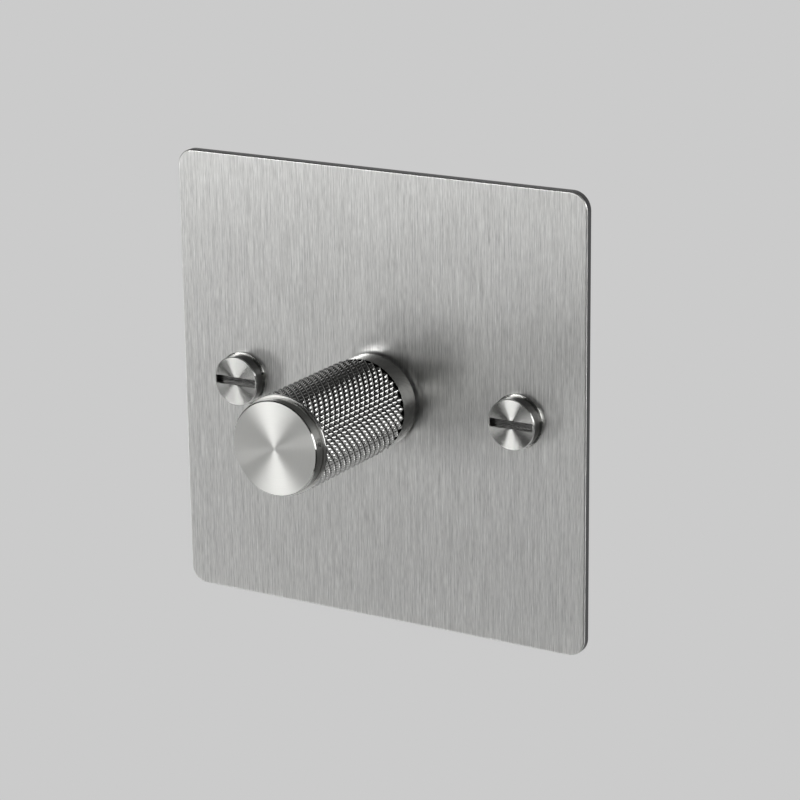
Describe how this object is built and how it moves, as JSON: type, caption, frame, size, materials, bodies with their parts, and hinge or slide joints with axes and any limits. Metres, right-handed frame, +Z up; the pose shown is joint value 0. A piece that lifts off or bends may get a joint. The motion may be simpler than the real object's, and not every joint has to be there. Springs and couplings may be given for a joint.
{
  "type": "dimmer switch",
  "caption": "Wall dimmer switch: square brushed metal plate held by slotted screws, with a long diamond-knurled metal knob that turns to dim and pushes to switch.",
  "frame": {"origin": "on the knob's axis, at the plate's back face, which is the wall's surface", "axes": "+X to the user's right, +Z up the wall, +Y into the wall, so the knob points along -Y"},
  "size_m": [0.088, 0.0657, 0.088],
  "materials": {
    "plate_steel": "stainless sheet, straight brushed upright",
    "screw_steel": "stainless, faces turned to fine rings",
    "knob_steel": "stainless bar, turned and form-knurled",
    "black_steel": "blackened steel grub screw",
    "spring_steel": "bright spring steel",
    "zinc_steel": "bright zinc plate",
    "aluminium": "mill finish aluminium",
    "brass": "machined brass",
    "tinned_brass": "tinned brass pins",
    "case_plastic": "moulded dark thermoset with a light texture",
    "black_plastic": "moulded black plastic",
    "white_plastic": "moulded natural acetal",
    "carbon_track": "carbon film on a ceramic wafer",
    "board_laminate": "green lacquered glass laminate",
    "ferrite": "epoxy-coated iron powder core",
    "copper_wire": "enamelled copper wire",
    "capacitor_plastic": "moulded yellow capacitor box",
    "resistor_lacquer": "lacquered resistor body"
  },
  "bodies": {
    "root": {"face_plate": "plate_steel", "screw_washers": "screw_steel", "plate_screws": "screw_steel", "control_bush": "brass", "bush_lock_washer": "zinc_steel", "bush_nut": "zinc_steel", "heat_sink": "aluminium", "module_case": "case_plastic", "case_screws": "zinc_steel", "pot_body": "black_plastic", "pot_pins": "tinned_brass", "resistive_track": "carbon_track", "switch_body": "black_plastic", "switch_contacts": "brass", "return_spring": "spring_steel", "circuit_board": "board_laminate", "triac": "black_plastic", "triac_screw": "zinc_steel", "choke_core": "ferrite", "choke_winding": "copper_wire", "film_capacitor": "capacitor_plastic", "control_chip": "black_plastic", "resistors": "resistor_lacquer", "terminal_block": "case_plastic", "terminal_cage_1": "brass", "terminal_cage_2": "brass", "terminal_cage_3": "brass", "terminal_screws": "zinc_steel", "earth_terminal": "brass", "earth_screw": "zinc_steel"},
    "rotor": {"wiper_rotor": "white_plastic", "wiper_contact": "spring_steel"},
    "control": {"knob": "knob_steel", "knob_grub_screw": "black_steel", "shaft": "aluminium", "shaft_clip": "spring_steel"},
    "plunger": {"switch_plunger": "white_plastic", "contact_bridge": "brass"}
  },
  "joints": [
    {"name": "turn", "type": "hinge", "parent": "root", "child": "rotor", "pos_m": [0, 0, 0], "axis": [0, 1, 0], "range_deg": [-135, 135]},
    {"name": "push", "type": "slide", "parent": "rotor", "child": "control", "axis": [0, 1, 0], "range_m": [0, 0.0008], "stiffness_N_per_m": 1500, "springref_m": -0.003, "deforming": ["return_spring"]},
    {"name": "plunger_slide", "type": "slide", "parent": "root", "child": "plunger", "axis": [0, 1, 0], "range_m": [0, 0.0008]}
  ],
  "couplings": [
    {"joint": "plunger_slide", "follows": "push", "ratio": 1}
  ]
}
